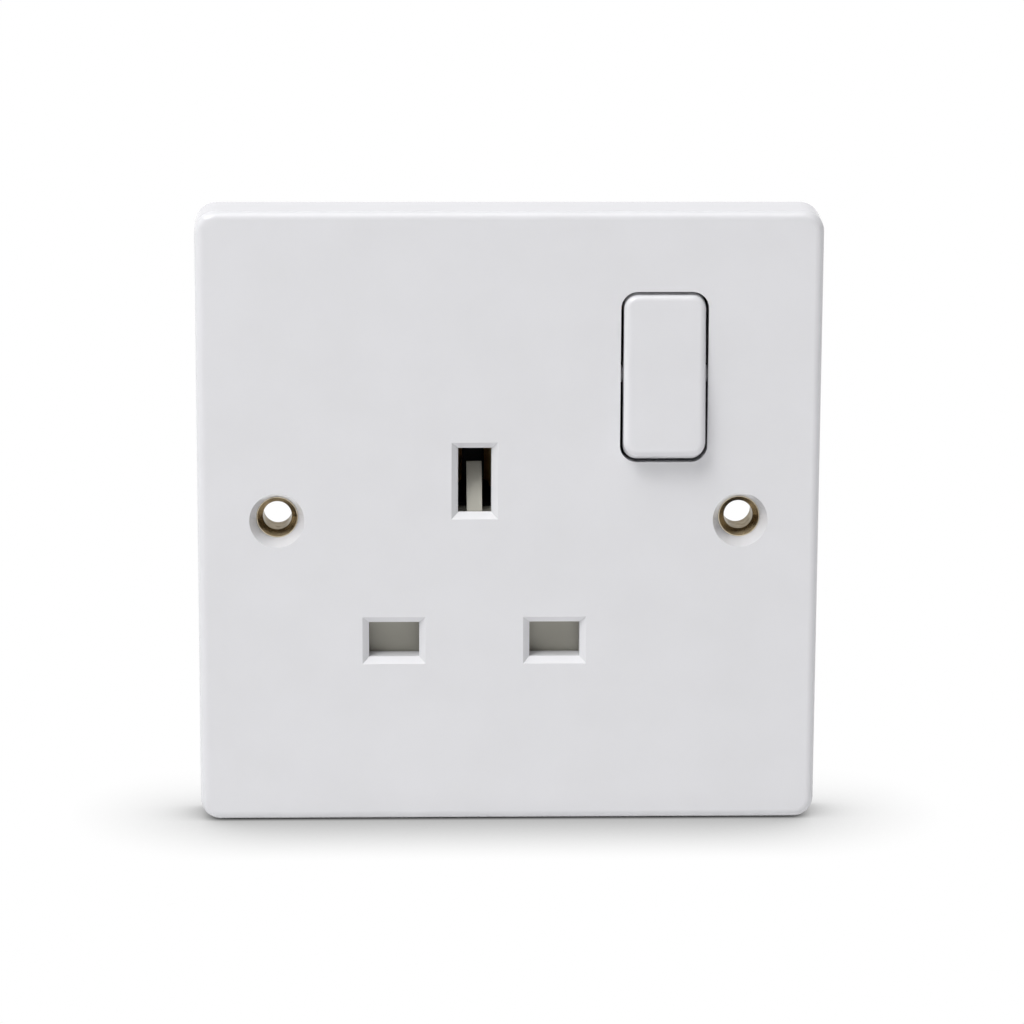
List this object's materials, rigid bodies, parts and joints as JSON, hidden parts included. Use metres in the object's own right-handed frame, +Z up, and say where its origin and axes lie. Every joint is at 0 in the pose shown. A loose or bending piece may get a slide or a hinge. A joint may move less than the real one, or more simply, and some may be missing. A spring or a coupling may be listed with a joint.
{
  "type": "switched wall socket",
  "caption": "Square white wall socket with a rocker switch, shuttered pin apertures, brass-lined fixing holes, sprung contacts and screw terminals in a rear housing.",
  "frame": {"origin": "middle of the plate on the wall plane, halfway between the fixing holes", "axes": "+Y into the wall, +Z up and +X to the right as seen from the front"},
  "size_m": [0.086, 0.0285, 0.086],
  "materials": {
    "white_moulding": "white moulded urea, low gloss",
    "shutter_moulding": "off-white moulded acetal",
    "housing_moulding": "black moulded phenolic, satin",
    "brass": "plain turned and pressed brass",
    "silver": "silver alloy, polished",
    "spring_steel": "bright drawn wire",
    "screw_steel": "zinc plated"
  },
  "bodies": {
    "base": {"front_plate": "white_moulding", "rear_housing": "housing_moulding", "shutter_spring": "spring_steel", "fixed_contact_tip": "silver", "line_contact": "brass", "line_feed_strip": "brass", "neutral_contact": "brass", "earth_contact": "brass", "earth_strap": "brass", "left_fixing_bush": "brass", "right_fixing_bush": "brass", "line_terminal": "brass", "neutral_terminal": "brass", "earth_terminal_left": "brass", "earth_terminal_right": "brass", "assembly_screw_1": "screw_steel", "assembly_screw_2": "screw_steel", "assembly_screw_3": "screw_steel", "assembly_screw_4": "screw_steel"},
    "rocker": {"rocker": "white_moulding", "rocker_spring": "spring_steel"},
    "plunger": {"rocker_plunger": "shutter_moulding"},
    "switch_arm": {"moving_contact": "brass", "moving_contact_tip": "silver"},
    "shutter": {"shutter": "shutter_moulding"},
    "line_screw": {"line_terminal_screw": "screw_steel"},
    "neutral_screw": {"neutral_terminal_screw": "screw_steel"},
    "earth_screw_left": {"earth_terminal_screw_left": "screw_steel"},
    "earth_screw_right": {"earth_terminal_screw_right": "screw_steel"}
  },
  "joints": [
    {"name": "rocker_switch", "type": "hinge", "parent": "base", "child": "rocker", "pos_m": [0.0212, -0.005, 0.02], "axis": [1, 0, 0], "range_deg": [0, 12]},
    {"name": "contact_rock", "type": "hinge", "parent": "base", "child": "switch_arm", "pos_m": [0.0212, 0.0065, 0.02], "axis": [1, 0, 0], "range_deg": [-24, 0]},
    {"name": "plunger_slide", "type": "slide", "parent": "rocker", "child": "plunger", "axis": [0, -0.9945, 0.1045], "range_m": [0, 0.0006], "stiffness_N_per_m": 400, "springref_m": -0.002, "deforming": ["rocker_spring"]},
    {"name": "shutter_slide", "type": "slide", "parent": "base", "child": "shutter", "axis": [0, 0, -1], "range_m": [0, 0.0064], "stiffness_N_per_m": 100, "springref_m": -0.004, "deforming": ["shutter_spring"]},
    {"name": "line_screw_travel", "type": "slide", "parent": "base", "child": "line_screw", "axis": [0, -1, 0], "range_m": [0, 0.0035]},
    {"name": "neutral_screw_travel", "type": "slide", "parent": "base", "child": "neutral_screw", "axis": [0, -1, 0], "range_m": [0, 0.0035]},
    {"name": "earth_screw_left_travel", "type": "slide", "parent": "base", "child": "earth_screw_left", "axis": [0, -1, 0], "range_m": [0, 0.0035]},
    {"name": "earth_screw_right_travel", "type": "slide", "parent": "base", "child": "earth_screw_right", "axis": [0, -1, 0], "range_m": [0, 0.0035]}
  ],
  "couplings": [
    {"joint": "contact_rock", "follows": "rocker_switch", "ratio": -2}
  ]
}
